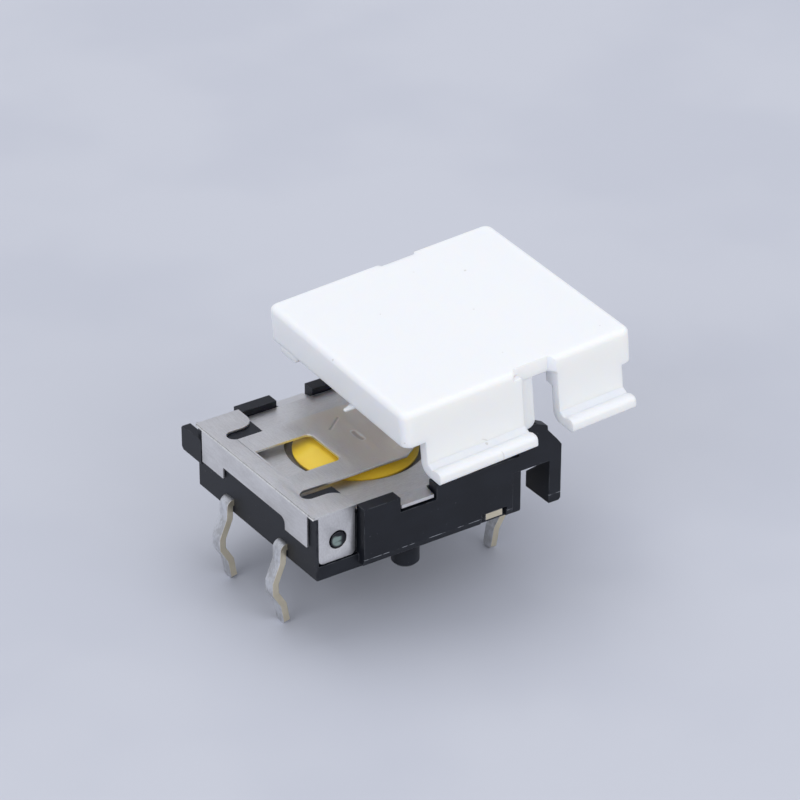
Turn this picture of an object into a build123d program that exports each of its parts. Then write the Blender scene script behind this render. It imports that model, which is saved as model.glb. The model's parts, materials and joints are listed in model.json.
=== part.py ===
from build123d import *

import math
import os

# Board-mounted push button: a black moulded base with four kinked leads, a yellow plunger over a
# snap dome, a stamped cover plate and leaf spring on top, and a white key cap on the rear hooks.
# Millimetres. X runs along the base, +Z is up, and z = 0 is the face that seats on the board.
# x = y = 0 is the centre of the four leads. Pieces that come in pairs mirror about the XZ plane.

# Terminals and leads
LEAD_ROW_GAP = 12.5  # between the two rows, along X
LEAD_PITCH = 5.0  # between the two leads of a row, along Y
LEAD_WIDTH = 0.7
STRIP_THICKNESS = 0.35
STRIP_HEIGHT = 0.6  # middle of the strip above the board
LEAD_DROP = 3.85  # lead tip below the board face
LEAD_STAND_OFF = 0.22  # middle of the lead outside the base's end
LEAD_KINK = 0.65  # how far the snap kink leans out past the tip
LEAD_BEND = 0.2
TIE_BAR_WIDTH = 1.0
TIE_BAR_X = 4.03
TIE_BAR_INSET = 0.05

# Base moulding
BASE_LENGTH = 12.0
BASE_LEFT = -6.19
BASE_WIDTH = 11.1
BED_HEIGHT = 2.95  # face under the cover plate
BLOCK_HEIGHT = 3.45  # raised block under the leaf spring's root
CORNER_CHAMFER = 0.05
WALL_SPAN = 12.1  # over the outer faces of the two side walls
WALL_THICKNESS = 0.7
WALL_BOTTOM = 0.24
WALL_TOP = 3.5
WALL_LENGTH = 9.4
WALL_LIP_HEIGHT = 0.36
WALL_LIP_DEPTH = 0.12
WALL_STEP_LENGTH = 0.52
WALL_STEP_DEPTH = 0.08
WINDOW_LENGTH = 2.15  # cut-out in each wall's top for the cover plate's wing
WINDOW_START = 2.12  # from the wall's left end
WINDOW_FLOOR = 2.67
SLOT_MARGIN = 0.27  # around the tie bar, in the wall's lower edge
SLOT_DEPTH = 0.45
FLOOR_HEIGHT = 1.4  # under the snap dome

# Rear hooks
HOOK_THICKNESS = 0.55
HOOK_TOP = 5.05
HOOK_HEAD_LENGTH = 1.05
HOOK_REACH = 2.42  # beyond the wall's right end
HOOK_LEG_WIDTH = 0.72
HOOK_LEG_BOTTOM = 0.14
HOOK_ARM_BOTTOM = 2.63
HOOK_FOOT_DEPTH = 2.0
HOOK_FOOT_HEIGHT = 0.9

# Locating features
KEY_X = -0.3  # axis of plunger, dome and pegs
PEG_RADIUS = 0.72
PEG_LENGTH = 1.4
PEG_SPACING = 9.0
PEG_CHAMFER = 0.15
LUG_SIZE = (0.45, 1.4, 1.4)
LUG_BOTTOM = 1.45
LUG_ROOT = 0.25  # thickness of the lug where it passes the spring's tab

# Cover plate
PLATE_THICKNESS = 0.18
PLATE_HOLE_RADIUS = 3.6
PLATE_END = 5.2
PLATE_TONGUE_WIDTH = 6.2
PLATE_TONGUE_LENGTH = 2.0
WING_SLOPE = 12.0
WING_INSET = 0.05

# Leaf spring
LEAF_THICKNESS = 0.15
LEAF_SEAT_GAP = 0.02
LEAF_ROOT_LENGTH = 1.05
LEAF_ARM_END = 2.4
LEAF_ARM_CORNER = 0.8
LEAF_SPAN = 11.0
TONGUE_WIDTH = 6.0
TONGUE_LENGTH = 9.1
TONGUE_CORNER = (2.1, 1.45)
SLOT_WIDTH = 0.85
OPENING_LENGTH = 3.2
OPENING_WIDTH = 3.0
OPENING_CORNER = 0.35
END_FLANGE_SPAN = 9.8
END_FLANGE_SHALLOW = 1.3
END_FLANGE_DEEP = 1.95
END_FLANGE_DEEP_WIDTH = 2.0
SIDE_TAB_MARGIN = 0.14
SIDE_TAB_DROP = 2.8
SIDE_TAB_CORNER = 0.3
SIDE_TAB_HOLE_RADIUS = 0.5
SIDE_TAB_HOLE_DROP = 1.65
DIMPLE_LENGTH = 1.36
DIMPLE_RADIUS = 0.3
DIMPLE_DROP = 0.07
DIMPLE_X = -0.16

# Plunger and snap dome
PLUNGER_RADIUS = 3.2
PLUNGER_FLANGE_RADIUS = 3.8
PLUNGER_FLANGE_THICKNESS = 0.28
PLUNGER_RISE = 0.4  # crown above its own edge
PLUNGER_NUB_RADIUS = 1.0
PLUNGER_NUB_LENGTH = 0.45
PLUNGER_GAP = 0.03
DOME_RADIUS = 3.0
DOME_RISE = 0.5
DOME_THICKNESS = 0.08
DOME_GAP = 0.04
CONTACT_RADIUS = 0.7
CONTACT_RISE = 0.08
CAVITY_CLEARANCE = 0.15

# Key cap, in its own frame: x from its left end, z from its top face
CAP_LENGTH = 13.3
CAP_WIDTH = 13.3
CAP_TOP_THICKNESS = 0.86
CAP_SKIRT = 1.9
CAP_END_WALL = 0.8
CAP_SIDE_WALL = 1.1
CAP_LEG_THICKNESS = 0.6
CAP_LEG_LENGTH = 3.87
CAP_LEGS = ((1.15, 5.65), (8.85, 3.77))  # start and width of each side's two legs
CAP_LIP_REACH = 1.15
CAP_LIP_THICKNESS = 0.5
CAP_BEAD_RISE = 0.14
CAP_HEEL_RADIUS = 0.55
CAP_NOTCH = (6.3, 2.5)  # start and length, in both long edges
CAP_NOTCH_DEPTH = 0.4
CAP_NOTCH_SLANT = 0.28
CAP_CORNER = 0.5
CAP_EDGE = 0.3
CAP_FOOT_START = 6.85
CAP_FOOT_LENGTH = 0.9
CAP_FOOT_THICKNESS = 0.6
CAP_PUSHER_RADIUS = 0.7
CAP_ORIGIN = (-1.55, 0.08, 8.365)
CAP_TILT = 4.935
CAP_YAW = -2.52
CAP_REST_GAP = 0.05

# Derived places
base_right = BASE_LEFT + BASE_LENGTH
block_right = BASE_LEFT + LEAF_ARM_END + LEAF_SEAT_GAP
wall_left = block_right + 0.03
wall_right = wall_left + WALL_LENGTH
wall_outer = WALL_SPAN / 2
wall_inner = wall_outer - WALL_THICKNESS
window_left = wall_left + WINDOW_START
leaf_bottom = BLOCK_HEIGHT + LEAF_SEAT_GAP
leaf_top = leaf_bottom + LEAF_THICKNESS
plate_bottom = BED_HEIGHT + 0.02
plate_top = plate_bottom + PLATE_THICKNESS
arm_recess = LEAF_SPAN / 2 - LEAF_THICKNESS - LEAF_SEAT_GAP
side_tab_x = BASE_LEFT + (SIDE_TAB_MARGIN + LEAF_ARM_END) / 2
side_tab_hole_z = leaf_top - SIDE_TAB_HOLE_DROP
strip_top = STRIP_HEIGHT + STRIP_THICKNESS / 2
dome_rim = FLOOR_HEIGHT + DOME_GAP
dome_top = dome_rim + DOME_RISE + DOME_THICKNESS
plunger_crown = leaf_bottom - DIMPLE_DROP - PLUNGER_GAP
plunger_edge = plunger_crown - PLUNGER_RISE
nub_bottom = dome_top + DOME_GAP
flange_bottom = nub_bottom + PLUNGER_NUB_LENGTH
leaf_end_x = BASE_LEFT - LEAF_SEAT_GAP - LEAF_THICKNESS
hook_left = wall_right - 0.17
hook_right = wall_right + HOOK_REACH


def block(x, y, z):
    """A box between two values on each axis."""
    size = [high - low for low, high in (x, y, z)]
    middle = [(high + low) / 2 for low, high in (x, y, z)]
    return Pos(*middle) * Box(*size)


def both_sides(shape):
    """The shape and its mirror image across the XZ plane."""
    return [shape, mirror(shape, about=Plane.XZ)]


def upright(radius, x, y, z_low, z_high):
    """A cylinder along Z between two heights."""
    return Pos(x, y, (z_low + z_high) / 2) * Cylinder(radius, z_high - z_low)


def plate_on_side(points, y_low, y_high):
    """An outline in X and Z, extruded from y_low to y_high."""
    outline = make_face(Plane.XZ.offset(-y_low) * Polyline(*points, close=True))
    return extrude(outline, amount=y_high - y_low, dir=(0, 1, 0))


def lead(side, y):
    """One kinked lead at the left (side -1) or right (side +1) end, from the strip to its tip."""
    start = BASE_LEFT if side < 0 else base_right
    tip = LEAD_ROW_GAP / 2
    kink = tip + LEAD_KINK
    route = [
        (abs(start) - 0.6, STRIP_HEIGHT),
        (abs(start) + LEAD_STAND_OFF, STRIP_HEIGHT),
        (abs(start) + LEAD_STAND_OFF + 0.05, -0.3),
        (kink, -1.35),
        (kink, -1.95),
        (tip + 0.2, -2.7),
        (tip, -LEAD_DROP),
    ]
    path = FilletPolyline(*[(side * x, y, z) for x, z in route], radius=LEAD_BEND)
    start_plane = Plane(origin=path @ 0, x_dir=(0, 1, 0), z_dir=path % 0)
    swept = sweep(start_plane * Rectangle(LEAD_WIDTH, STRIP_THICKNESS), path=path)
    tip_edges = swept.faces().sort_by(Axis.Z)[0].edges().filter_by(Axis.X, tolerance=15)
    return chamfer(tip_edges, LEAD_WIDTH / 5)


def terminal(side):
    """The conductor on one side (-1 near, +1 far): strip, two leads, tie bar stub and contact."""
    y = side * LEAD_PITCH / 2
    z = (strip_top - STRIP_THICKNESS, strip_top)
    strip = block((BASE_LEFT + 0.4, base_right - 0.4), (y - LEAD_WIDTH / 2, y + LEAD_WIDTH / 2), z)
    tie_x = (TIE_BAR_X - TIE_BAR_WIDTH / 2, TIE_BAR_X + TIE_BAR_WIDTH / 2)
    tie_y = sorted((y, side * (wall_outer - TIE_BAR_INSET)))
    pieces = [strip, lead(-1, y), lead(1, y), block(tie_x, tie_y, z)]
    if side < 0:
        contact_y = 0.0
        top = FLOOR_HEIGHT + CONTACT_RISE
    else:
        contact_y = DOME_RADIUS - CONTACT_RADIUS / 2
        top = FLOOR_HEIGHT
    branch_y = sorted((y, contact_y))
    pieces.append(block((KEY_X - CONTACT_RADIUS / 2, KEY_X + CONTACT_RADIUS / 2), branch_y, z))
    pieces.append(upright(CONTACT_RADIUS, KEY_X, contact_y, z[0], top))
    return pieces[0].fuse(*pieces[1:]).clean()


def side_wall():
    """The far side wall with its lower chamfer, window, tie bar slot and end step."""
    wall = block((wall_left, wall_right), (wall_inner, wall_outer), (WALL_BOTTOM, WALL_TOP))
    low_edge = wall.edges().filter_by(Axis.X).group_by(Axis.Z)[0].sort_by(Axis.Y)[-1]
    wall = chamfer(low_edge, WALL_LIP_HEIGHT, WALL_LIP_DEPTH)
    window_x = (window_left, window_left + WINDOW_LENGTH)
    wall -= block(window_x, (wall_inner - 1, wall_outer + 1), (WINDOW_FLOOR, WALL_TOP + 1))
    slot_half = TIE_BAR_WIDTH / 2 + SLOT_MARGIN
    slot_x = (TIE_BAR_X - slot_half, TIE_BAR_X + slot_half)
    wall -= block(slot_x, (wall_outer - SLOT_DEPTH, wall_outer + 1), (0, strip_top + 0.06))
    step_x = (wall_right - WALL_STEP_LENGTH, wall_right + 1)
    wall -= block(step_x, (wall_outer - WALL_STEP_DEPTH, wall_outer + 1), (0, HOOK_ARM_BOTTOM))
    return wall


def hook():
    """The far rear hook: a flat arm with a head the key cap sits on and a leg with a foot."""
    slope_x = hook_left + HOOK_HEAD_LENGTH
    outline = [
        (hook_left, WALL_TOP - 0.2),
        (hook_left, HOOK_TOP - 0.1),
        (hook_left + 0.1, HOOK_TOP),
        (slope_x, HOOK_TOP),
        (slope_x + 0.65, HOOK_TOP - 0.32),
        (slope_x + 0.68, HOOK_TOP - 0.58),
        (hook_right - 0.3, HOOK_TOP - 1.25),
        (hook_right, HOOK_TOP - 1.65),
        (hook_right, HOOK_LEG_BOTTOM + 0.12),
        (hook_right - 0.12, HOOK_LEG_BOTTOM),
        (hook_right - HOOK_LEG_WIDTH, HOOK_LEG_BOTTOM),
        (hook_right - HOOK_LEG_WIDTH, HOOK_ARM_BOTTOM),
        (wall_right - 0.6, HOOK_ARM_BOTTOM),
        (wall_right - 0.6, WALL_TOP - 0.2),
    ]
    arm = plate_on_side(outline, wall_outer - HOOK_THICKNESS, wall_outer)
    foot_y = wall_outer - HOOK_FOOT_DEPTH
    arm_y = wall_outer - HOOK_THICKNESS
    foot_outline = Plane.YZ * Polyline(
        (arm_y, HOOK_LEG_BOTTOM),
        (foot_y, HOOK_LEG_BOTTOM),
        (foot_y, HOOK_LEG_BOTTOM + HOOK_FOOT_HEIGHT),
        (arm_y, HOOK_ARM_BOTTOM - 0.35),
        close=True,
    )
    foot = extrude(make_face(foot_outline), amount=HOOK_LEG_WIDTH, dir=(1, 0, 0))
    return arm + Pos(hook_right - HOOK_LEG_WIDTH, 0, 0) * foot


def peg():
    """The far locating peg, with a chamfered end."""
    shape = upright(PEG_RADIUS, KEY_X, PEG_SPACING / 2, -PEG_LENGTH, 0.5)
    return chamfer(shape.edges().group_by(Axis.Z)[0], PEG_CHAMFER)


def snap_boss():
    """The far boss that the leaf spring's side tab hooks over, with a sloped face."""
    radius = SIDE_TAB_HOLE_RADIUS - 0.08
    proud = LEAF_SPAN / 2 - arm_recess + 0.02
    boss = Cylinder(radius, proud + 0.3)
    placed = Pos(side_tab_x, arm_recess + (proud - 0.3) / 2, side_tab_hole_z) * (Rot(90, 0, 0) * boss)
    ramp = Pos(side_tab_x, LEAF_SPAN / 2 + 0.33, side_tab_hole_z + radius) * (Rot(35, 0, 0) * Box(2, 0.5, 2))
    return placed - ramp


def housing():
    """The black base: bed, block, walls, hooks, pegs and lug, with its strips moulded in."""
    half = BASE_WIDTH / 2
    base = block((BASE_LEFT, base_right), (-half, half), (0, BED_HEIGHT))
    base += block((BASE_LEFT, block_right), (-half, half), (0, BLOCK_HEIGHT))
    base = chamfer(base.edges().filter_by(Axis.Z).group_by(Axis.X)[0], CORNER_CHAMFER)
    recess_bottom = leaf_top - SIDE_TAB_DROP - 0.05
    recess_x = (BASE_LEFT + SIDE_TAB_MARGIN - 0.03, wall_left)
    recess = block(recess_x, (arm_recess, half + 1), (recess_bottom, BLOCK_HEIGHT + 1))
    base = base.cut(*both_sides(recess))
    tongue_half = PLATE_TONGUE_WIDTH / 2 + 0.1
    pocket_x = (block_right - PLATE_TONGUE_LENGTH - 0.1, block_right + 1)
    base -= block(pocket_x, (-tongue_half, tongue_half), (BED_HEIGHT, BLOCK_HEIGHT + 1))
    extras = [copy for shape in (side_wall(), hook(), peg(), snap_boss()) for copy in both_sides(shape)]
    lug_x, lug_y, lug_z = LUG_SIZE
    lug_start = BASE_LEFT + SIDE_TAB_MARGIN - 0.03 - LUG_ROOT
    lug_z = (LUG_BOTTOM, LUG_BOTTOM + lug_z)
    lug = block((lug_start, lug_start + lug_x), (half, half + lug_y), lug_z)
    lug = chamfer(lug.edges().filter_by(Axis.X).group_by(Axis.Y)[-1], 0.15)
    lug += block((lug_start, lug_start + LUG_ROOT), (half - 0.5, half + 0.1), lug_z)
    base = base.fuse(*extras, lug).clean()
    cavity_radius = PLUNGER_FLANGE_RADIUS + CAVITY_CLEARANCE
    base -= upright(cavity_radius, KEY_X, 0, FLOOR_HEIGHT, BED_HEIGHT + 1)
    return base.cut(terminal(-1), terminal(1))


def cover_plate():
    """The stamped plate with a round hole, a tongue under the leaf and a wing in each window."""
    left = block_right + 0.1
    half = wall_inner - 0.05
    z = (plate_bottom, plate_top)
    plate = block((left, PLATE_END), (-half, half), z)
    tongue_half = PLATE_TONGUE_WIDTH / 2
    plate += block((block_right - PLATE_TONGUE_LENGTH, left + 0.1), (-tongue_half, tongue_half), z)
    wing_reach = wall_outer - WING_INSET - half
    wing_x = (window_left + 0.1, window_left + WINDOW_LENGTH - 0.15)
    drop = wing_reach * math.tan(math.radians(WING_SLOPE))
    wing_outline = Plane.YZ * Polyline(
        (half - 0.1, plate_bottom),
        (half - 0.1, plate_top),
        (half, plate_top),
        (half + wing_reach, plate_top - drop),
        (half + wing_reach, plate_bottom - drop),
        (half, plate_bottom),
        close=True,
    )
    wing = Pos(wing_x[0], 0, 0) * extrude(
        make_face(wing_outline), amount=wing_x[1] - wing_x[0], dir=(1, 0, 0)
    )
    plate = plate.fuse(*both_sides(wing)).clean()
    return plate - upright(PLATE_HOLE_RADIUS, KEY_X, 0, 0, leaf_top)


def leaf_sheet():
    """The leaf spring's flat top: root, two side arms and the tongue with its opening."""
    left = leaf_end_x
    half = LEAF_SPAN / 2
    tongue_half = TONGUE_WIDTH / 2
    root_right = BASE_LEFT + LEAF_ROOT_LENGTH - 0.15
    arm_right = BASE_LEFT + LEAF_ARM_END
    tongue_right = BASE_LEFT + TONGUE_LENGTH
    arm_inner = tongue_half + SLOT_WIDTH
    z = (leaf_bottom, leaf_top)
    sheet = block((left, root_right), (-half, half), z)
    arm = block((root_right - 0.1, arm_right), (arm_inner, half), z)
    arm = fillet(arm.edges().filter_by(Axis.Z).group_by(Axis.X)[-1].sort_by(Axis.Y)[0], LEAF_ARM_CORNER)
    slot_end = upright(SLOT_WIDTH / 2, root_right, tongue_half + SLOT_WIDTH / 2, *z)
    sheet = sheet.fuse(*both_sides(arm)).cut(*both_sides(slot_end))
    corner_x, corner_y = TONGUE_CORNER
    tongue = extrude(
        Plane.XY.offset(leaf_bottom)
        * make_face(
            Polyline(
                (root_right - 0.5, -tongue_half),
                (tongue_right - corner_x, -tongue_half),
                (tongue_right, -tongue_half + corner_y),
                (tongue_right, tongue_half - corner_y),
                (tongue_right - corner_x, tongue_half),
                (root_right - 0.5, tongue_half),
                close=True,
            )
        ),
        amount=LEAF_THICKNESS,
    )
    opening_x = (root_right, root_right + OPENING_LENGTH)
    opening = block(opening_x, (-OPENING_WIDTH / 2, OPENING_WIDTH / 2), (leaf_bottom - 1, leaf_top + 1))
    opening = fillet(opening.edges().filter_by(Axis.Z).group_by(Axis.X)[-1], OPENING_CORNER)
    return (sheet + tongue) - opening


def end_flange():
    """The leaf spring's flange down the base's left end, deeper at its two sides."""
    half = END_FLANGE_SPAN / 2
    inner = half - END_FLANGE_DEEP_WIDTH
    deep = leaf_top - END_FLANGE_DEEP
    shallow = leaf_top - END_FLANGE_SHALLOW
    outline = Plane.YZ * Polyline(
        (-half, leaf_top - 0.05),
        (-half, deep),
        (-inner, deep),
        (-inner, shallow),
        (inner, shallow),
        (inner, deep),
        (half, deep),
        (half, leaf_top - 0.05),
        close=True,
    )
    flange = extrude(make_face(outline), amount=LEAF_THICKNESS, dir=(1, 0, 0))
    near_corner = flange.edges().filter_by(Axis.X).group_by(Axis.Z)[1].sort_by(Axis.Y)[0]
    return Pos(leaf_end_x, 0, 0) * fillet(near_corner, 0.35)


def side_tab():
    """The far side tab of the leaf spring, with its hole for the snap boss."""
    x = (BASE_LEFT + SIDE_TAB_MARGIN, BASE_LEFT + LEAF_ARM_END - 0.12)
    y = (LEAF_SPAN / 2 - LEAF_THICKNESS, LEAF_SPAN / 2)
    tab = block(x, y, (leaf_top - SIDE_TAB_DROP, leaf_top - 0.05))
    tab = fillet(tab.edges().filter_by(Axis.Y).group_by(Axis.Z)[0], SIDE_TAB_CORNER)
    hole = Pos(side_tab_x, LEAF_SPAN / 2, side_tab_hole_z) * (
        Rot(90, 0, 0) * Cylinder(SIDE_TAB_HOLE_RADIUS, 1)
    )
    return tab - hole


def leaf_spring():
    """The whole stamped spring; its dimple presses the plunger's crown."""
    spring = leaf_sheet().fuse(end_flange(), *both_sides(side_tab()))
    bend_edges = spring.edges().filter_by(Axis.Y).group_by(Axis.X)[0].sort_by(Axis.Z)[-1]
    spring = fillet(bend_edges, LEAF_THICKNESS * 0.8)
    dimple = Pos(DIMPLE_X, 0, leaf_bottom - DIMPLE_DROP + DIMPLE_RADIUS) * (
        Rot(90, 0, 0) * Cylinder(DIMPLE_RADIUS, DIMPLE_LENGTH)
    )
    dimple = dimple - block((-9, 9), (-9, 9), (leaf_bottom + LEAF_THICKNESS / 2, 9))
    return spring + dimple


def plunger():
    """The domed button that the leaf presses, with a flange under the plate and a nub below."""
    rise = PLUNGER_RISE
    crown_radius = (PLUNGER_RADIUS**2 + rise**2) / (2 * rise)
    crown = RadiusArc((PLUNGER_RADIUS, plunger_edge), (0, plunger_crown), -crown_radius)
    flange_top = flange_bottom + PLUNGER_FLANGE_THICKNESS
    sides = Polyline(
        (0, plunger_crown),
        (0, nub_bottom),
        (PLUNGER_NUB_RADIUS, nub_bottom),
        (PLUNGER_NUB_RADIUS, flange_bottom),
        (PLUNGER_FLANGE_RADIUS, flange_bottom),
        (PLUNGER_FLANGE_RADIUS, flange_top),
        (PLUNGER_RADIUS, flange_top),
        (PLUNGER_RADIUS, plunger_edge),
    )
    section = Plane.XZ * make_face([crown, sides])
    return Pos(KEY_X, 0, 0) * revolve(section, Axis.Z)


def snap_dome():
    """The thin sprung disc that closes the contacts when the plunger comes down."""
    radius = (DOME_RADIUS**2 + DOME_RISE**2) / (2 * DOME_RISE)
    outer = RadiusArc((0, dome_top), (DOME_RADIUS, dome_rim + DOME_THICKNESS), radius)
    inner = RadiusArc((0, dome_rim + DOME_RISE), (DOME_RADIUS, dome_rim), radius)
    axis_line = Line((0, dome_rim + DOME_RISE), (0, dome_top))
    rim_line = Line((DOME_RADIUS, dome_rim), (DOME_RADIUS, dome_rim + DOME_THICKNESS))
    section = Plane.XZ * make_face([outer, rim_line, inner, axis_line])
    return Pos(KEY_X, 0, 0) * revolve(section, Axis.Z)


def cap_leg(start, width):
    """One far leg of the key cap: a flat leg whose foot turns outwards into a beaded lip."""
    outer = CAP_WIDTH / 2
    inner = outer - CAP_LEG_THICKNESS
    bottom = -CAP_LEG_LENGTH
    lip_end = outer + CAP_LIP_REACH
    lip_top = bottom + CAP_LIP_THICKNESS
    outline = Polyline(
        (inner, -CAP_TOP_THICKNESS / 2),
        (inner, bottom),
        (lip_end, bottom),
        (lip_end, lip_top + CAP_BEAD_RISE),
        (lip_end - 0.45, lip_top + CAP_BEAD_RISE),
        (outer + 0.35, lip_top),
        (outer, lip_top + 0.2),
        (outer, -CAP_TOP_THICKNESS / 2),
        close=True,
    )
    leg = extrude(make_face(Plane.YZ * outline), amount=width, dir=(1, 0, 0))
    long_edges = leg.edges().filter_by(Axis.X)
    heel = long_edges.group_by(Axis.Z)[0].sort_by(Axis.Y)[0]
    leg = fillet(heel, CAP_HEEL_RADIUS)
    tip_edges = leg.edges().filter_by(Axis.X).group_by(Axis.Y)[-1]
    leg = fillet(tip_edges, CAP_LIP_THICKNESS * 0.4)
    return Pos(start, 0, 0) * leg


def cap_notch():
    """The slanted notch in the cap's far long edge."""
    start, length = CAP_NOTCH
    edge = CAP_WIDTH / 2
    outline = Polyline(
        (start, edge + 0.01),
        (start + CAP_NOTCH_SLANT, edge - CAP_NOTCH_DEPTH),
        (start + length - CAP_NOTCH_SLANT, edge - CAP_NOTCH_DEPTH),
        (start + length, edge + 0.01),
        (start + length, edge + 1),
        (start, edge + 1),
        close=True,
    )
    return Pos(0, 0, -CAP_LEG_LENGTH - 1) * extrude(make_face(outline), amount=CAP_LEG_LENGTH + 2)


def cap_shell():
    """The cap's top, end walls and the thick stretches of its side walls."""
    half = CAP_WIDTH / 2
    shell = block((0, CAP_LENGTH), (-half, half), (-CAP_SKIRT, 0))
    shell = fillet(shell.edges().filter_by(Axis.Z), CAP_CORNER)
    shell = fillet(shell.edges().group_by(Axis.Z)[-1], CAP_EDGE)
    side = half - CAP_SIDE_WALL
    hollow_z = (-CAP_SKIRT - 1, -CAP_TOP_THICKNESS)
    shell -= block((CAP_END_WALL, CAP_LENGTH - CAP_END_WALL), (-side, side), hollow_z)
    first_leg, second_leg = CAP_LEGS
    gap_x = (sum(first_leg), second_leg[0])
    return shell - block(gap_x, (-half - 1, half + 1), hollow_z)


def on_cap(x, y, z=0.0):
    """Where a point of the cap's own frame lies in the base's frame."""
    return Plane(cap_location()).from_local_coords(Vector(x, y, z))


def cap_location():
    """The cap's place: tilted up at the hooks and a little askew."""
    return Pos(*CAP_ORIGIN) * Rot(0, 0, CAP_YAW) * Rot(0, -CAP_TILT, 0)


def cap_supports():
    """The foot over each hook head and the post over the leaf's tongue, in the cap's frame."""
    half = CAP_WIDTH / 2
    pieces = []
    foot_middle = CAP_FOOT_START + CAP_FOOT_LENGTH / 2
    foot_drop = on_cap(foot_middle, 0).Z - HOOK_TOP - CAP_REST_GAP
    round_radius = CAP_FOOT_LENGTH / 2
    foot_y = (half - CAP_LEG_THICKNESS - CAP_FOOT_THICKNESS, half - CAP_LEG_THICKNESS)
    foot_x = (CAP_FOOT_START, CAP_FOOT_START + CAP_FOOT_LENGTH)
    foot = block(foot_x, foot_y, (-foot_drop + round_radius, -0.4))
    rounding = Pos(foot_middle, sum(foot_y) / 2, -foot_drop + round_radius) * (
        Rot(90, 0, 0) * Cylinder(round_radius, CAP_FOOT_THICKNESS)
    )
    pieces += both_sides(foot + rounding)
    tongue_right = BASE_LEFT + TONGUE_LENGTH
    push_x = (tongue_right - CAP_PUSHER_RADIUS - 0.05 - CAP_ORIGIN[0]) / math.cos(math.radians(CAP_TILT))
    push_drop = on_cap(push_x, 0).Z - leaf_top - CAP_REST_GAP
    post = upright(CAP_PUSHER_RADIUS, push_x, 0, -push_drop, -0.4)
    pieces.append(fillet(post.edges().group_by(Axis.Z)[0], CAP_PUSHER_RADIUS * 0.6))
    return pieces


def key_cap():
    """The white key cap: a thin shell on four lipped legs."""
    legs = [copy for start, width in CAP_LEGS for copy in both_sides(cap_leg(start, width))]
    cap = cap_shell().cut(*both_sides(cap_notch()))
    cap = cap.fuse(*legs, *cap_supports()).clean()
    return cap.moved(cap_location())


PARTS = {
    "housing": housing,
    "near_terminal": lambda: terminal(-1),
    "far_terminal": lambda: terminal(1),
    "snap_dome": snap_dome,
    "plunger": plunger,
    "cover_plate": cover_plate,
    "leaf_spring": leaf_spring,
    "key_cap": key_cap,
}

os.makedirs("parts", exist_ok=True)
for name, make in PARTS.items():
    solid = make()
    solid.label = name
    export_step(solid, f"parts/{name}.step")
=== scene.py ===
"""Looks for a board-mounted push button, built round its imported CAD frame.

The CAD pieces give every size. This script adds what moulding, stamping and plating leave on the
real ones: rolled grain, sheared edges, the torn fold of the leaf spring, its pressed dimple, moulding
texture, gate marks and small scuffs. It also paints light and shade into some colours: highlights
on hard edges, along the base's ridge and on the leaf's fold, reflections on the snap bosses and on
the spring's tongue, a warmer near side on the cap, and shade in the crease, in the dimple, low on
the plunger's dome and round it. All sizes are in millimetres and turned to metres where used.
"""

from __future__ import annotations

import json
import logging
import math
from dataclasses import dataclass, field
from enum import Enum
from typing import Any, Callable

import bmesh
import bpy
from mathutils import Matrix, Vector

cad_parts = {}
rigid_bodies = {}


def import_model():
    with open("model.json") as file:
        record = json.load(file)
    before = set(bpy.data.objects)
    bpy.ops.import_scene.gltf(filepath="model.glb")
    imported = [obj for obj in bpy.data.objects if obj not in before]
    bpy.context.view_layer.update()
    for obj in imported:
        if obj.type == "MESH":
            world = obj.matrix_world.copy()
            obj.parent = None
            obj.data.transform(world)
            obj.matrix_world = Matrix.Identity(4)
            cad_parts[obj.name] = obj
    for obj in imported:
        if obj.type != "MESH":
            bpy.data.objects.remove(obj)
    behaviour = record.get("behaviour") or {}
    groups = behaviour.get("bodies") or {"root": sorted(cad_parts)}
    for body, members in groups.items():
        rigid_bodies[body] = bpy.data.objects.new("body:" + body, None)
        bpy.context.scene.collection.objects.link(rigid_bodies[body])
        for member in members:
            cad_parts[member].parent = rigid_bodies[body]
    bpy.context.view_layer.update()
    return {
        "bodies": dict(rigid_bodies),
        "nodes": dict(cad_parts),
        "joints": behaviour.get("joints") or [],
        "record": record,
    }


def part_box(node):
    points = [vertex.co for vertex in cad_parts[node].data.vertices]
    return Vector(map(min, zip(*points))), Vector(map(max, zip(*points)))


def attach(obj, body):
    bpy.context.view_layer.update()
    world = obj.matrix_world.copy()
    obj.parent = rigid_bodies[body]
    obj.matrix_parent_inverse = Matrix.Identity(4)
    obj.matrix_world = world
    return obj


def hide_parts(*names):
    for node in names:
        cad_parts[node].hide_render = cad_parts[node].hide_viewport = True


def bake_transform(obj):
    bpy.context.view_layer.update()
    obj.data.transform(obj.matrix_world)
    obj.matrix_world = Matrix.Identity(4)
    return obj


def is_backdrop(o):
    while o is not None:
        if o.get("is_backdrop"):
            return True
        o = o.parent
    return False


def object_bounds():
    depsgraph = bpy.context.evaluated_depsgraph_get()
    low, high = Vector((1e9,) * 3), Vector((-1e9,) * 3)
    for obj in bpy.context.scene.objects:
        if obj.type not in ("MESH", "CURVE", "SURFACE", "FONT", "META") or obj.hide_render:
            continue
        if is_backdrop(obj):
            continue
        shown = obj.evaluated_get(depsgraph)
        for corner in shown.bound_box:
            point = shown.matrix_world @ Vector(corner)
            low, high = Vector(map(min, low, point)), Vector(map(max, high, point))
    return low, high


LOG = logging.getLogger("push_button")
MM = 0.001

Colour = tuple[float, float, float]


class Body(Enum):
    """The rigid bodies of the frame that new pieces ride on."""

    BASE = "base"
    PLUNGER = "plunger"
    CAP = "cap"


def rgba(colour: Colour) -> tuple[float, float, float, float]:
    """The colour with full alpha."""
    return (*colour, 1.0)


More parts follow.
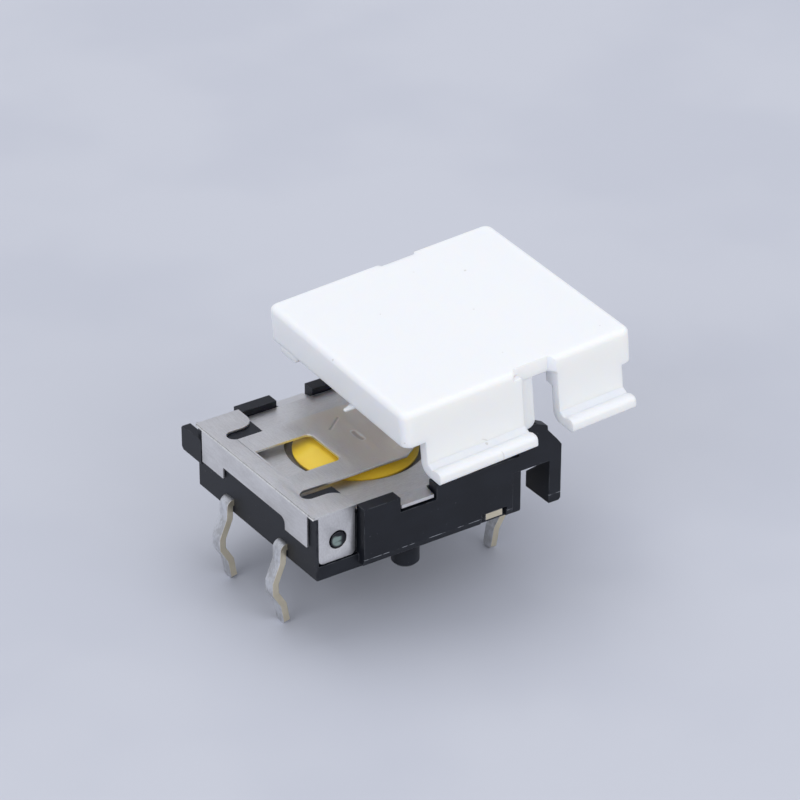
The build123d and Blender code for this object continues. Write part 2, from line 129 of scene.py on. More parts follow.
class Signal:
    """A node output that Python's operators turn into Math nodes."""

    def __init__(self, canvas: "Canvas", socket: bpy.types.NodeSocket) -> None:
        """Wraps one socket of the canvas."""
        self.canvas = canvas
        self.socket = socket

    def maths(self, operation: str, *others: "Signal | float") -> "Signal":
        """Adds a Math node.

        Args:
            operation: the Math node's operation.
            others: its second and third values.

        Returns:
            The node's value.
        """
        sockets = dict(enumerate((self, *others)))
        node = self.canvas.add("ShaderNodeMath", {"operation": operation}, sockets)
        return Signal(self.canvas, node.outputs[0])

    def __add__(self, other: "Signal | float") -> "Signal":
        """The sum."""
        return self.maths("ADD", other)

    __radd__ = __add__

    def __mul__(self, other: "Signal | float") -> "Signal":
        """The product."""
        return self.maths("MULTIPLY", other)

    __rmul__ = __mul__

    def __sub__(self, other: "Signal | float") -> "Signal":
        """The difference."""
        return self.maths("SUBTRACT", other)

    def __rsub__(self, other: float) -> "Signal":
        """A number less this value."""
        return self.maths("MULTIPLY_ADD", -1.0, other)

    def __truediv__(self, other: "Signal | float") -> "Signal":
        """The quotient."""
        return self.maths("DIVIDE", other)

    def __pow__(self, power: float) -> "Signal":
        """The value raised to a power."""
        return self.maths("POWER", power)

    def __abs__(self) -> "Signal":
        """The value without its sign."""
        return self.maths("ABSOLUTE")

    def least(self, other: "Signal | float") -> "Signal":
        """The smaller of two values."""
        return self.maths("MINIMUM", other)

    def most(self, other: "Signal | float") -> "Signal":
        """The larger of two values."""
        return self.maths("MAXIMUM", other)

    def root(self) -> "Signal":
        """The square root."""
        return self.maths("SQRT")

    def rise(self, low: float, high: float) -> "Signal":
        """A smooth step.

        Args:
            low: the value at which the result is 0.
            high: the value at which the result is 1; below low, the step falls.

        Returns:
            The step, from 0 to 1.
        """
        ends = (low, high, 0.0, 1.0) if low < high else (high, low, 1.0, 0.0)
        names = ("From Min", "From Max", "To Min", "To Max")
        sockets = {"Value": self, **dict(zip(names, ends))}
        node = self.canvas.add("ShaderNodeMapRange", {"interpolation_type": "SMOOTHSTEP"}, sockets)
        return Signal(self.canvas, node.outputs["Result"])

    def between(self, low: float, high: float, soft: float) -> "Signal":
        """1 between two values and 0 outside them, over a soft margin."""
        return self.rise(low - soft, low + soft) * self.rise(high + soft, high - soft)


class Canvas:
    """The node tree of one material."""

    def __init__(self, name: str) -> None:
        """Starts an empty material.

        Args:
            name: the finish's name.
        """
        self.material = bpy.data.materials.new(name)
        self.material.use_nodes = True
        self.tree = self.material.node_tree
        self.tree.nodes.clear()
        self.coords = self.add("ShaderNodeTexCoord").outputs["Object"]
        self.geometry = self.add("ShaderNodeNewGeometry")
        parts = self.add("ShaderNodeSeparateXYZ", sockets={0: self.coords})
        self.x, self.y, self.z = (Signal(self, out) * (1 / MM) for out in parts.outputs)
        facing = self.add("ShaderNodeSeparateXYZ", sockets={0: self.geometry.outputs["True Normal"]})
        self.facing_x, self.facing_y, self.facing_z = (Signal(self, out) for out in facing.outputs)

    def add(
        self, kind: str, settings: dict[str, Any] | None = None, sockets: dict[str | int, Any] | None = None
    ) -> bpy.types.Node:
        """Adds any node.

        Args:
            kind: the node's type.
            settings: its properties, set first.
            sockets: a value, a socket or a signal for each named or numbered input.

        Returns:
            The node.
        """
        node = self.tree.nodes.new(kind)
        for key, value in (settings or {}).items():
            setattr(node, key, value)
        for key, value in (sockets or {}).items():
            if isinstance(value, Signal):
                self.tree.links.new(value.socket, node.inputs[key])
            elif isinstance(value, bpy.types.NodeSocket):
                self.tree.links.new(value, node.inputs[key])
            else:
                node.inputs[key].default_value = value
        return node

    def noise(self, per_mm: tuple[float, float, float], detail: float = 2.0, shift: float = 0.0) -> Signal:
        """Noise in the piece's own space.

        Args:
            per_mm: how many cells go in a millimetre, along X, Y and Z.
            detail: the noise's octaves.
            shift: moves the pattern, so that two of them differ.

        Returns:
            The noise, from 0 to 1.
        """
        scale = tuple(cells / MM for cells in per_mm)
        place = self.add("ShaderNodeMapping", {}, {0: self.coords, 1: (shift, shift, shift), 3: scale})
        sockets = {"Vector": place.outputs[0], "Scale": 1.0, "Detail": detail}
        node = self.add("ShaderNodeTexNoise", {}, sockets)
        return Signal(self, node.outputs[0])

    def mixed(self, factor: Signal | float, first: Any, second: Any) -> Signal:
        """Two colours mixed.

        Args:
            factor: 0 gives the first and 1 the second.
            first: a colour or a signal.
            second: a colour or a signal.

        Returns:
            The mixed colour.
        """
        pair = [rgba(c) if isinstance(c, tuple) else c for c in (first, second)]
        node = self.add("ShaderNodeMix", {"data_type": "RGBA"}, {0: factor, 6: pair[0], 7: pair[1]})
        return Signal(self, node.outputs[2])

    def soft_edges(self, radius: float) -> tuple[bpy.types.NodeSocket, Signal]:
        """Rounds the shading of every hard edge.

        Args:
            radius: the edge's radius in millimetres.

        Returns:
            The rounded normal, and a mask that is 1 on the edges.
        """
        bevel = self.add("ShaderNodeBevel", {"samples": 6}, {"Radius": radius * MM})
        sockets = {0: bevel.outputs[0], 1: self.geometry.outputs["Normal"]}
        dot = self.add("ShaderNodeVectorMath", {"operation": "DOT_PRODUCT"}, sockets)
        return bevel.outputs[0], Signal(self, dot.outputs["Value"]).rise(0.995, 0.9)

    def bumped(self, height: Signal, depth: float, normal: Any = None) -> bpy.types.NodeSocket:
        """A Bump node.

        Args:
            height: the height, from 0 to 1.
            depth: how many millimetres the height spans.
            normal: the normal to start from.

        Returns:
            The bumped normal.
        """
        sockets = {"Height": height, "Distance": depth * MM, "Strength": 1.0}
        if normal is not None:
            sockets["Normal"] = normal
        return self.add("ShaderNodeBump", {}, sockets).outputs[0]

    def stroke(self, start: tuple[float, float], end: tuple[float, float], across: float) -> Signal:
        """A soft straight mark on a level surface.

        Args:
            start: one end in X and Y, in millimetres.
            end: the other end.
            across: the mark's width.

        Returns:
            1 along the mark's middle, falling to 0 at its edges.
        """
        run, side = end[0] - start[0], end[1] - start[1]
        square = max(run * run + side * side, 1e-9)
        off_x, off_y = self.x - start[0], self.y - start[1]
        along = ((off_x * run + off_y * side) / square).most(0.0).least(1.0)
        far = ((off_x - along * run) ** 2.0 + (off_y - along * side) ** 2.0).root()
        return far.rise(across / 2, 0.0)

    def surface(self, **sockets: Any) -> bpy.types.Material:
        """Ends the material with a Principled shader.

        Args:
            sockets: the shader's inputs, with underscores for spaces.

        Returns:
            The material.
        """
        named = {key.replace("_", " "): value for key, value in sockets.items()}
        if "IOR Level" in named:
            named["Specular IOR Level"] = named.pop("IOR Level")
        shader = self.add("ShaderNodeBsdfPrincipled", {}, named)
        self.add("ShaderNodeOutputMaterial", {}, {"Surface": shader.outputs[0]})
        return self.material


@dataclass(frozen=True)
class BlackMoulding:
    """Satin black moulded plastic with edges worn pale and painted with highlights, painted highlight
    dashes along the low ridge and a painted reflection on each snap boss.
    """

    name: str = "satin_black_moulding"
    deep: Colour = (0.0040, 0.0052, 0.0088)
    dusty: Colour = (0.0072, 0.0090, 0.0140)
    # Pale edge colour: partly worn edges, partly painted highlights.
    edge: Colour = (0.075, 0.080, 0.092)
    roughness: float = 0.40
    edge_radius: float = 0.07
    grain: float = 14.0
    grain_depth: float = 0.0025
    # Painted highlight colour of the ridge's dashes.
    ridge_highlight_colour: Colour = (0.42, 0.44, 0.48)
    # Painted reflection colour of the snap bosses.
    boss_reflection_colour: Colour = (0.20, 0.26, 0.25)
    wall_face: float = 5.98
    ridge_height: float = 0.60
    boss_place: tuple[float, float] = (-4.92, 1.97)  # X and Z

    def ridge_highlight_dashes(self, canvas: Canvas) -> Signal:
        """Broken painted highlight dashes along the ridge low on the outer side walls."""
        outside = abs(canvas.y).rise(self.wall_face - 0.03, self.wall_face + 0.03)
        dashes = canvas.noise((1.9, 0.3, 0.3), 3.0, 12.0).rise(0.42, 0.56)
        ridge = canvas.z.between(self.ridge_height - 0.012, self.ridge_height + 0.018, 0.012)
        return ridge * outside * dashes * 0.75

    def boss_reflection(self, canvas: Canvas) -> Signal:
        """A painted reflection, in streaks, on the slanted face of each snap boss."""
        off_x, off_z = canvas.x - self.boss_place[0], canvas.z - self.boss_place[1]
        disc = (off_x**2.0 + off_z**2.0).root().rise(0.40, 0.28)
        streaks = canvas.noise((1.2, 1.2, 5.0), 2.0, 21.0).rise(0.38, 0.58)
        return disc * streaks * abs(canvas.y).rise(5.2, 5.3) * canvas.x.rise(-4.65, -4.85)

    def dress(self) -> bpy.types.Material:
        """Builds the material."""
        canvas = Canvas(self.name)
        normal, edges = canvas.soft_edges(self.edge_radius)
        clouds = canvas.noise((0.5, 0.5, 0.9), 3.0)
        grain = canvas.noise((self.grain,) * 3, 2.0, 3.0)
        specks = canvas.noise((5.0, 5.0, 5.0), 1.0, 7.0).rise(0.74, 0.80)
        broken = canvas.noise((2.2, 2.2, 2.2), 2.0, 5.0).rise(0.35, 0.6)
        colour = canvas.mixed(clouds.rise(0.35, 0.7), self.deep, self.dusty)
        # Hard edges, broken by noise, painted pale: partly wear, partly painted highlight.
        colour = canvas.mixed((edges * broken * 0.8).least(1.0), colour, self.edge)
        colour = canvas.mixed(specks * 0.35, colour, (0.10, 0.105, 0.12))
        # Painted highlight dashes along the ridge.
        colour = canvas.mixed(self.ridge_highlight_dashes(canvas), colour, self.ridge_highlight_colour)
        # Painted reflection on the snap bosses.
        colour = canvas.mixed(self.boss_reflection(canvas), colour, self.boss_reflection_colour)
        roughness = self.roughness + clouds * 0.10 + grain * 0.05 - edges * 0.12
        return canvas.surface(
            Base_Color=colour,
            Roughness=roughness,
            IOR_Level=0.38,
            Normal=canvas.bumped(grain, self.grain_depth, normal),
        )


@dataclass(frozen=True)
class RolledSteel:
    """Thin stainless sheet: fine rolled grain, faint stains and sheared edges painted bright, partly as
    edge highlights.
    """

    name: str = "rolled_stainless"
    dark: Colour = (0.70, 0.685, 0.665)
    pale: Colour = (0.86, 0.85, 0.835)
    # Bright sheared metal, also used as painted edge highlight and for scratches.
    bright_metal_and_highlight: Colour = (0.93, 0.925, 0.91)
    roughness: float = 0.30
    edge_radius: float = 0.035
    streaks: tuple[float, float, float] = (16.0, 1.6, 6.0)

    def sheet(self, canvas: Canvas) -> tuple[Signal, Signal, Signal]:
        """The plain sheet.

        Args:
            canvas: the material to add to.

        Returns:
            Its colour, its roughness and its grain.
        """
        streaks = canvas.noise(self.streaks, 3.0)
        speckle = canvas.noise((11.0, 11.0, 11.0), 2.0, 4.0)
        stains = canvas.noise((0.55, 0.55, 0.55), 2.0, 9.0)
        tone = (streaks * 0.45 + speckle * 0.35 + stains * 0.45 - 0.1).rise(0.25, 0.78)
        roughness = self.roughness + speckle * 0.12 + stains * 0.10
        return canvas.mixed(tone, self.dark, self.pale), roughness, streaks * 0.5 + speckle * 0.5

    def dress(self) -> bpy.types.Material:
        """Builds the material."""
        canvas = Canvas(self.name)
        normal, edges = canvas.soft_edges(self.edge_radius)
        colour, roughness, grain = self.sheet(canvas)
        # Hard edges painted bright: sheared metal and painted edge highlights.
        colour = canvas.mixed(edges * 0.6, colour, self.bright_metal_and_highlight)
        return canvas.surface(
            Base_Color=colour,
            Metallic=1.0,
            Roughness=roughness,
            Normal=canvas.bumped(grain, 0.0016, normal),
        )


@dataclass(frozen=True)
class LeafSteel(RolledSteel):
    """The leaf spring's sheet: torn fold with painted glints, pressed dimple, handling marks, painted shade
    in crease and dimple, painted reflection on the tongue.
    """

    name: str = "leaf_stainless"
    # Painted warm reflection of the cap's translucent underside on the tongue.
    tongue_reflection_tint: Colour = (0.84, 0.765, 0.67)
    fold: tuple[float, float] = (-6.33, 3.56)  # X and Z of the fold's middle
    tongue_left: float = -3.0
    tongue_half: float = 3.0
    crease: tuple[tuple[float, float], tuple[float, float]] = ((-1.0, 1.24), (-0.08, 2.0))
    dip_ends: tuple[tuple[float, float], tuple[float, float]] = ((-0.16, -0.40), (-0.16, 0.40))
    scratches: tuple[tuple[tuple[float, float], tuple[float, float]], ...] = (
        ((-5.6, -3.2), (-4.9, -2.5)),
        ((-5.9, 1.0), (-5.2, 0.6)),
        ((0.6, -2.1), (1.3, -1.7)),
        ((-0.9, -2.2), (-0.6, -2.35)),
    )

    def dress(self) -> bpy.types.Material:
        """Builds the material."""
        canvas = Canvas(self.name)
        normal, edges = canvas.soft_edges(self.edge_radius)
        colour, roughness, grain = self.sheet(canvas)
        level = canvas.facing_z.rise(0.6, 0.9)
        # Painted warm reflection on the tongue's top.
        tongue_reflection_mask = canvas.x.rise(self.tongue_left, self.tongue_left + 2.6)
        tongue_reflection_mask = tongue_reflection_mask * abs(canvas.y).rise(self.tongue_half + 0.3, self.tongue_half - 0.3) * level
        colour = canvas.mixed(tongue_reflection_mask * 0.85, colour, self.tongue_reflection_tint)
        colour, roughness = self.mark(canvas, colour, roughness, level)
        fold_teeth_and_glints = self.torn_fold_glints(canvas)
        # Painted highlights on hard edges, partly sheared metal, and painted glints on the fold's teeth.
        colour = canvas.mixed((edges * 0.55).most(fold_teeth_and_glints).least(1.0), colour, self.bright_metal_and_highlight)
        height = self.pressed_heights(canvas, level)
        normal = canvas.bumped(height, 0.06, normal)
        return canvas.surface(
            Base_Color=colour,
            Metallic=1.0 - fold_teeth_and_glints * 0.85,
            Roughness=roughness + fold_teeth_and_glints * 0.2,
            Normal=canvas.bumped(grain + fold_teeth_and_glints * 3.0, 0.0016, normal),
        )

    def mark(
        self, canvas: Canvas, colour: Signal, roughness: Signal, level: Signal
    ) -> tuple[Signal, Signal]:
        """Adds the crease's painted shade, the scratches, and the dimple's painted highlight ring with
        painted shade inside it.

        Args:
            canvas: the material.
            colour: the sheet's colour so far.
            roughness: its roughness so far.
            level: 1 where the sheet faces up.

        Returns:
            The new colour and roughness.
        """
        crease = canvas.stroke(*self.crease, 0.24) * level
        # The crease painted darker as its shade.
        colour = canvas.mixed(crease * 0.5, colour, (0.24, 0.22, 0.20))
        for index, (start, end) in enumerate(self.scratches):
            line = canvas.stroke(start, end, 0.07 + 0.01 * index) * level
            colour = canvas.mixed(line * 0.35, colour, self.bright_metal_and_highlight)
        dip = canvas.stroke(*self.dip_ends, 0.50) * level
        # Painted highlight on the dimple's rim and painted shade inside it.
        colour = canvas.mixed(dip.between(0.12, 0.42, 0.08) * 0.75, colour, self.bright_metal_and_highlight)
        colour = canvas.mixed(dip.rise(0.55, 0.9) * 0.45, colour, (0.30, 0.275, 0.25))
        return colour, roughness + crease * 0.2

    def torn_fold_glints(self, canvas: Canvas) -> Signal:
        """Uneven teeth where the sheet is folded down over the base's end, painted bright as glints."""
        fold_x, fold_z = self.fold
        tear = canvas.noise((0.4, 7.0, 0.4), 3.0, 2.0) - 0.5
        off_x = canvas.x - fold_x - tear * 0.14
        off_z = canvas.z - fold_z
        band = (off_x**2.0 + off_z**2.0).root().rise(0.085, 0.03)
        gaps = canvas.noise((0.3, 7.0, 0.3), 2.0, 6.0).rise(0.40, 0.52)
        return band * gaps * 0.75

    def pressed_heights(self, canvas: Canvas, level: Signal) -> Signal:
        """The crease and the sheet's slight waves, as a height."""
        crease = canvas.stroke(*self.crease, 0.30) * 0.6
        waves = canvas.noise((0.45, 0.45, 0.45), 1.0, 15.0) * 0.5
        return (1.0 + waves - crease) * level


@dataclass(frozen=True)
class TinnedBrass:
    """Tin-plated brass strip whose cut sides show the brass."""

    name: str = "tinned_brass"
    tin: Colour = (0.74, 0.75, 0.765)
    tarnish: Colour = (0.52, 0.52, 0.515)
    brass: Colour = (0.84, 0.74, 0.52)
    roughness: float = 0.34

    def dress(self) -> bpy.types.Material:
        """Builds the material."""
        canvas = Canvas(self.name)
        normal, edges = canvas.soft_edges(0.05)
        blotches = canvas.noise((1.6, 1.6, 1.6), 4.0)
        fine = canvas.noise((12.0, 12.0, 3.0), 2.0, 4.0)
        cut = abs(canvas.facing_y).rise(0.6, 0.85)
        colour = canvas.mixed((blotches * 0.8 + fine * 0.3).rise(0.42, 0.68), self.tarnish, self.tin)
        colour = canvas.mixed(cut * 0.8, colour, self.brass)
        # Painted highlight along hard edges.
        colour = canvas.mixed(edges * 0.4, colour, (0.93, 0.91, 0.86))
        return canvas.surface(
            Base_Color=colour,
            Metallic=0.92,
            Roughness=self.roughness + blotches * 0.18,
            Normal=canvas.bumped(fine * 0.6 + blotches * 0.4, 0.004, normal),
        )


@dataclass(frozen=True)
class YellowPlastic:
    """Glossy yellow plastic with faint flow tone, one dark speck, painted shade low on the dome and painted
    shade in the gap under the plate.
    """

    name: str = "glossy_yellow"
    bright: Colour = (0.96, 0.70, 0.075)
    deep: Colour = (0.78, 0.47, 0.025)
    # Painted shade colour for the gap under the plate's hole.
    gap_shade: Colour = (0.19, 0.175, 0.15)
    speck: tuple[float, float] = (-2.2, -1.32)

    def dress(self) -> bpy.types.Material:
        """Builds the material."""
        canvas = Canvas(self.name)
        flow = canvas.noise((0.35, 0.5, 0.6), 2.0)
        dust = canvas.noise((9.0, 9.0, 9.0), 1.0, 3.0).rise(0.76, 0.82)
        dirt = canvas.stroke(self.speck, self.speck, 0.16)
        # Darker low on the dome: painted shade.
        lower_dome_shade = (canvas.z - 3.15).rise(0.0, -0.35)
        colour = canvas.mixed((flow.rise(0.35, 0.7) * 0.35 + lower_dome_shade * 0.5).least(1.0), self.bright, self.deep)
        colour = canvas.mixed(dust * 0.2, colour, (0.95, 0.85, 0.6))
        colour = canvas.mixed(dirt, colour, (0.03, 0.02, 0.01))
        # Painted shade below the plate's level, in the gap round the plunger.
        colour = canvas.mixed(canvas.z.rise(2.95, 2.82), colour, self.gap_shade)
        return canvas.surface(
            Base_Color=colour,
            Roughness=0.24 + flow * 0.1 + dirt * 0.3,
            Subsurface_Weight=0.15,
            Subsurface_Radius=(0.6, 0.35, 0.05),
            Subsurface_Scale=0.4 * MM,
            Normal=canvas.bumped(canvas.noise((3.0, 3.0, 3.0), 2.0, 8.0), 0.003),
        )


@dataclass(frozen=True)
class WhitePlastic:
    """Smooth bright white plastic, a little translucent, with hairlines and specks; the near side is
    painted warmer as its light, and the edges get a faint painted highlight.
    """

    name: str = "smooth_white"
    white: Colour = (0.845, 0.86, 0.895)
    # Cream tone, partly random and partly the near side's painted warmer light.
    cream_and_near_light: Colour = (0.865, 0.865, 0.845)
    roughness: float = 0.33
    edge_radius: float = 0.08

    def dress(self) -> bpy.types.Material:
        """Builds the material."""
        canvas = Canvas(self.name)
        normal, edges = canvas.soft_edges(self.edge_radius)
        clouds = canvas.noise((0.12, 0.12, 0.2), 2.0)
        grain = canvas.noise((9.0, 9.0, 9.0), 2.0, 3.0)
        specks = canvas.noise((2.6, 2.6, 2.6), 0.0, 5.0).rise(0.868, 0.885)
        # Near-facing sides painted cream as their warmer light, plus some random cream tone.
        near_side_light = canvas.facing_y.rise(-0.5, -0.9)
        colour = canvas.mixed((clouds * 0.25 + near_side_light * 0.75).least(1.0), self.white, self.cream_and_near_light)
        # Faint painted highlight on the edges.
        colour = canvas.mixed(edges * 0.15, colour, (0.88, 0.89, 0.91))
        colour = canvas.mixed(specks * 0.35, colour, (0.42, 0.38, 0.33))
        colour = canvas.mixed(self.hairline(canvas) * 0.30, colour, (0.45, 0.43, 0.40))
        return canvas.surface(
            Base_Color=colour,
            Roughness=self.roughness + clouds * 0.08 + grain * 0.04,
            IOR_Level=0.42,
            Subsurface_Weight=0.7,
            Subsurface_Radius=(1.0, 0.85, 0.7),
            Subsurface_Scale=0.8 * MM,
            Normal=canvas.bumped(grain, 0.0015, normal),
        )

    @staticmethod
    def hairline(canvas: Canvas) -> Signal:
        """A thin curved mark low on the near front leg."""
        wander = canvas.noise((0.6, 0.6, 0.6), 1.0, 11.0) * 0.5
        arc = (((canvas.x - 2.55) ** 2.0 + (canvas.z - 5.15) ** 2.0).root() - 0.62 - wander * 0.1)
        line = abs(arc).rise(0.05, 0.015)
        return line * (canvas.x - 2.6).rise(0.0, 0.2) * canvas.facing_y.rise(-0.5, -0.9)


@dataclass(frozen=True)
class StudioFloor:
    """Plain pale card with a barely visible mottle."""

    name: str = "pale_floor"
    colour: Colour = (0.550, 0.568, 0.640)
    mottle: Colour = (0.522, 0.541, 0.617)

    def dress(self) -> bpy.types.Material:
        """Builds the material."""
        canvas = Canvas(self.name)
        clouds = canvas.noise((0.05, 0.05, 0.05), 3.0)
        colour = canvas.mixed(clouds.rise(0.42, 0.62), self.colour, self.mottle)
        return canvas.surface(Base_Color=colour, Roughness=0.9, IOR_Level=0.1)


class Bench:
    """Edit-mode tools that shape one mesh object."""

    @staticmethod
    def clear_selection() -> None:
        """Leaves nothing selected."""
        if bpy.context.object and bpy.context.object.mode != "OBJECT":
            bpy.ops.object.mode_set(mode="OBJECT")
        bpy.ops.object.select_all(action="DESELECT")

    @classmethod
    def hold(cls, piece: bpy.types.Object) -> None:
        """Makes the piece the only selected and active one."""
        cls.clear_selection()
        piece.select_set(True)
        bpy.context.view_layer.objects.active = piece

    @classmethod
    def copy_of(cls, node: bpy.types.Object, name: str) -> bpy.types.Object:
        """A merged copy of a CAD node, as one clean mesh.

        Args:
            node: the CAD node's object.
            name: the new piece's name.

        Returns:
            The new piece, with flat faces joined.
        """
        mesh = node.data.copy()
        mesh.name = name
        mesh.materials.clear()
        piece = bpy.data.objects.new(name, mesh)
        bpy.context.scene.collection.objects.link(piece)
        cls.hold(piece)
        bpy.ops.object.mode_set(mode="EDIT")
        bpy.ops.mesh.select_all(action="SELECT")
        bpy.ops.mesh.remove_doubles(threshold=1e-6)
        bpy.ops.mesh.dissolve_limited(angle_limit=math.radians(0.8))
        bpy.ops.object.mode_set(mode="OBJECT")
        return piece

    @classmethod
    def settle(cls, piece: bpy.types.Object) -> None:
        """Moves the piece's place, turn and size into its mesh."""
        cls.hold(piece)
        bpy.ops.object.transform_apply(location=True, rotation=True, scale=True)

    @classmethod
    def pick_edges(cls, piece: bpy.types.Object, wanted: Callable[[bmesh.types.BMEdge], bool]) -> int:
        """Selects edges in edit mode.

        Args:
            piece: the mesh, already in edit mode.
            wanted: says whether an edge is to be selected.

        Returns:
            How many were.
        """
        bpy.ops.mesh.select_mode(type="EDGE")
        bpy.ops.mesh.select_all(action="DESELECT")
        mesh = bmesh.from_edit_mesh(piece.data)
        chosen = [edge for edge in mesh.edges if wanted(edge)]
        for edge in chosen:
            edge.select_set(True)
        bmesh.update_edit_mesh(piece.data)
        return len(chosen)

    @classmethod
    def pick_faces(cls, piece: bpy.types.Object, wanted: Callable[[bmesh.types.BMFace], bool]) -> int:
        """Selects faces in edit mode.

        Args:
            piece: the mesh, already in edit mode.
            wanted: says whether a face is to be selected.

        Returns:
            How many were.
        """
        bpy.ops.mesh.select_mode(type="FACE")
        bpy.ops.mesh.select_all(action="DESELECT")
        mesh = bmesh.from_edit_mesh(piece.data)
        chosen = [face for face in mesh.faces if wanted(face)]
        for face in chosen:
            face.select_set(True)
        bmesh.update_edit_mesh(piece.data)
        return len(chosen)

    @classmethod
    def carve(cls, piece: bpy.types.Object, tool: bpy.types.Object) -> None:
        """Cuts a tool's shape out of a piece, and removes the tool.

        Args:
            piece: the mesh that is cut.
            tool: the closed mesh that cuts it.
        """
        cls.hold(piece)
        cut = piece.modifiers.new("cut", "BOOLEAN")
        cut.operation = "DIFFERENCE"
        cut.solver = "EXACT"
        cut.object = tool
        bpy.ops.object.modifier_apply(modifier=cut.name)
        bpy.data.objects.remove(tool)

    @classmethod
    def cut_across(cls, piece: bpy.types.Object, places: list[float]) -> None:
        """Adds a ring of edges at each X, so that the piece can bend.

        Args:
            piece: the mesh.
            places: each cut's X in metres.
        """
        cls.hold(piece)
        bpy.ops.object.mode_set(mode="EDIT")
        for place in places:
            bpy.ops.mesh.select_all(action="SELECT")
            bpy.ops.mesh.bisect(plane_co=(place, 0, 0), plane_no=(1, 0, 0))
        bpy.ops.object.mode_set(mode="OBJECT")

    @classmethod
    def round_edges(cls, piece: bpy.types.Object, width: float, segments: int, angle: float = 35.0) -> None:
        """Rounds every edge sharper than an angle.

        Args:
            piece: the mesh.
            width: the rounding in millimetres.
            segments: its steps.
            angle: the least turn of an edge that is rounded, in degrees.
        """
        cls.hold(piece)
        bevel = piece.modifiers.new("edges", "BEVEL")
        bevel.limit_method = "ANGLE"
        bevel.angle_limit = math.radians(angle)
        bevel.width = width * MM
        bevel.segments = segments
        bevel.use_clamp_overlap = False
        bpy.ops.object.modifier_apply(modifier=bevel.name)
        bpy.ops.object.shade_smooth_by_angle(angle=math.radians(32))


@dataclass
class SubAssembly:
    """One group of pieces of the push button."""

    frame: dict[str, Any]

    def node(self, name: str) -> bpy.types.Object:
        """The CAD node's object."""
        return self.frame["nodes"][name]

    def coat(self, piece: bpy.types.Object, material: bpy.types.Material) -> None:
        """Gives the whole piece one material.

        Args:
            piece: a CAD node or a new piece.
            material: its finish.
        """
        slots = piece.data.materials
        if slots:
            for index in range(len(slots)):
                slots[index] = material
        else:
            slots.append(material)
        LOG.info("%s wears %s", piece.name, material.name)

    def build(self) -> None:
        """Makes the pieces and dresses them."""
        raise NotImplementedError


@dataclass
class MouldedBase(SubAssembly):
    """The black base."""

    finish: BlackMoulding = field(default_factory=BlackMoulding)

    def build(self) -> None:
        """Dresses the base moulding."""
        self.coat(self.node("housing"), self.finish.dress())


@dataclass
class Contacts(SubAssembly):
    """The two moulded-in terminals with their leads, and the snap dome."""

    plating: TinnedBrass = field(default_factory=TinnedBrass)
    dome_steel: RolledSteel = RolledSteel(name="dome_stainless", roughness=0.22)

    def build(self) -> None:
        """Dresses the terminals and the dome."""
        plating = self.plating.dress()
        for name in ("near_terminal", "far_terminal"):
            self.coat(self.node(name), plating)
        self.coat(self.node("snap_dome"), self.dome_steel.dress())


@dataclass
class Plunger(SubAssembly):
    """The yellow plunger."""

    finish: YellowPlastic = field(default_factory=YellowPlastic)

    def build(self) -> None:
        """Dresses the plunger."""
        self.coat(self.node("plunger"), self.finish.dress())


@dataclass
class StampedCover(SubAssembly):
    """The cover plate under the leaf spring."""

    finish: RolledSteel = RolledSteel(name="cover_stainless", streaks=(2.0, 14.0, 6.0))

    def build(self) -> None:
        """Dresses the plate."""
        self.coat(self.node("cover_plate"), self.finish.dress())


@dataclass
class LeafSpring(SubAssembly):
    """The stamped leaf spring, with rings cut across the tongue where the plunger bends it down."""

    finish: LeafSteel = field(default_factory=LeafSteel)
    bend_start: float = -3.7
    bend_end: float = 0.3
    bend_steps: int = 12
    edge_round: float = 0.03
    tab_place: float = 5.35
    tab_round: float = 0.12
    dip_place: tuple[float, float] = (-0.16, 0.0)
    dip_radius: tuple[float, float] = (0.40, 1.0)  # across and along
    dip_depth: float = 0.085

    def build(self) -> None:
        """Copies the flat spring in place of the CAD node, rounds and dimples it, and cuts it so that it
        can bend.
        """
        strip = Bench.copy_of(self.node("leaf_spring"), "leaf_strip")
        self.bend_tabs(strip)
        self.press_dimple(strip)
        Bench.round_edges(strip, self.edge_round, 2)
        step = (self.bend_end - self.bend_start) / self.bend_steps
        places = [(self.bend_start + step * index) * MM for index in range(self.bend_steps + 1)]
        Bench.cut_across(strip, places)
        self.coat(strip, self.finish.dress())
        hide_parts("leaf_spring")
        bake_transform(strip)

    def press_dimple(self, strip: bpy.types.Object) -> None:
        """Sinks the long dimple into the tongue's top.

        Args:
            strip: the copied spring.
        """
        across, along = (radius * MM for radius in self.dip_radius)
        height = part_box("leaf_spring")[1].z + across - self.dip_depth * MM
        place = (self.dip_place[0] * MM, self.dip_place[1] * MM, height)
        Bench.clear_selection()
        bpy.ops.mesh.primitive_uv_sphere_add(segments=32, ring_count=24, radius=across, location=place)
        punch = bpy.context.object
        punch.scale = (1.0, along / across, 1.0)
        Bench.settle(punch)
        Bench.carve(strip, punch)

    def bend_tabs(self, strip: bpy.types.Object) -> None:
        """Rounds the outer fold where each side tab turns down.

        Args:
            strip: the copied spring.
        """
        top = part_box("leaf_spring")[1].z
        side = self.tab_place * MM

        def on_fold(edge: bmesh.types.BMEdge) -> bool:
            """Whether the edge runs along a tab's outer fold."""
            ends = [vertex.co for vertex in edge.verts]
            level = all(abs(point.z - top) < 0.03 * MM and abs(point.y) > side for point in ends)
            return level and abs(ends[0].y - ends[1].y) < 0.01 * MM

        Bench.hold(strip)
        bpy.ops.object.mode_set(mode="EDIT")
        count = Bench.pick_edges(strip, on_fold)
        if count:
            bpy.ops.mesh.bevel(offset=self.tab_round * MM, segments=4, profile=0.5, clamp_overlap=True)
        bpy.ops.object.mode_set(mode="OBJECT")
        LOG.info("%s has %d rounded folds", strip.name, count)


